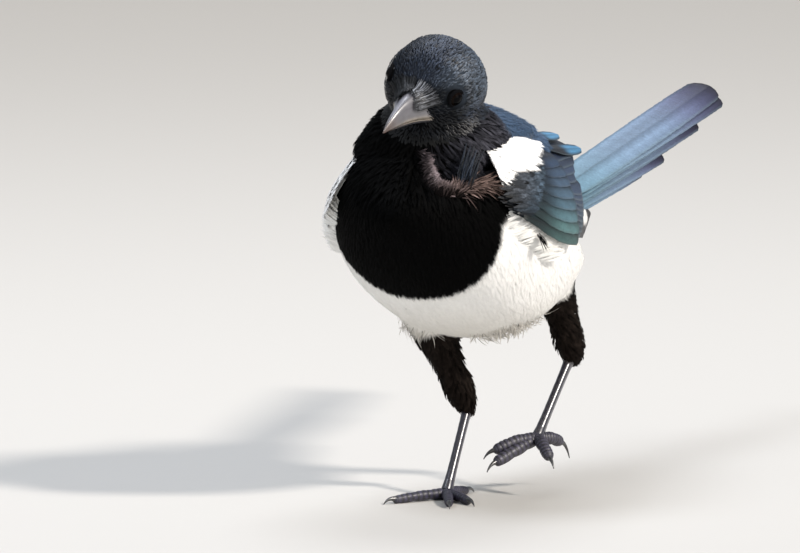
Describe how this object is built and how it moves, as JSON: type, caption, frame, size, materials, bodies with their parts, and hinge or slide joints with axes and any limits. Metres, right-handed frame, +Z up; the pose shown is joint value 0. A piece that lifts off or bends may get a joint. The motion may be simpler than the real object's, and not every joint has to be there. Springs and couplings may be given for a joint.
{
  "type": "eurasian magpie",
  "caption": "Still life-size magpie in mid-stride, one foot lifted, long graded tail raised, folded wings, head turned and bent down.",
  "frame": {"origin": "on the floor, under the ball of the standing right foot", "axes": "+Z up, +X to the bird's left, -Y the way the bird walks, +Y towards the tail"},
  "size_m": [0.1116, 0.402, 0.2169],
  "materials": {
    "black_plumage": "glossy black feathers",
    "white_plumage": "soft white feathers",
    "blue_vanes": "iridescent blue feather vanes",
    "teal_vanes": "iridescent blue-green feather vanes",
    "tail_vanes": "iridescent tail feather vanes",
    "horn": "glossy dark horn of the bill and claws",
    "scutes": "glossy scaled skin of legs and toes",
    "eye": "wet dark brown eye"
  },
  "bodies": {
    "root": {"torso": "black_plumage", "neck": "black_plumage", "eye_left": "eye", "eye_right": "eye", "head": "black_plumage", "bill_upper": "horn", "bill_lower": "horn", "wing_left_primaries": "black_plumage", "wing_left_secondaries": "blue_vanes", "wing_left_coverts": "teal_vanes", "wing_right_primaries": "black_plumage", "wing_right_secondaries": "blue_vanes", "wing_right_coverts": "teal_vanes", "scapulars_left": "white_plumage", "scapulars_right": "white_plumage", "tail": "tail_vanes", "thigh_right": "black_plumage", "thigh_left": "black_plumage", "tarsus_right": "scutes", "tarsus_left": "scutes", "claw_right_inner": "horn", "claw_right_middle": "horn", "claw_right_outer": "horn", "claw_right_hind": "horn", "foot_right": "scutes", "claw_left_inner": "horn", "claw_left_middle": "horn", "claw_left_outer": "horn", "claw_left_hind": "horn", "foot_left": "scutes"}
  },
  "joints": []
}
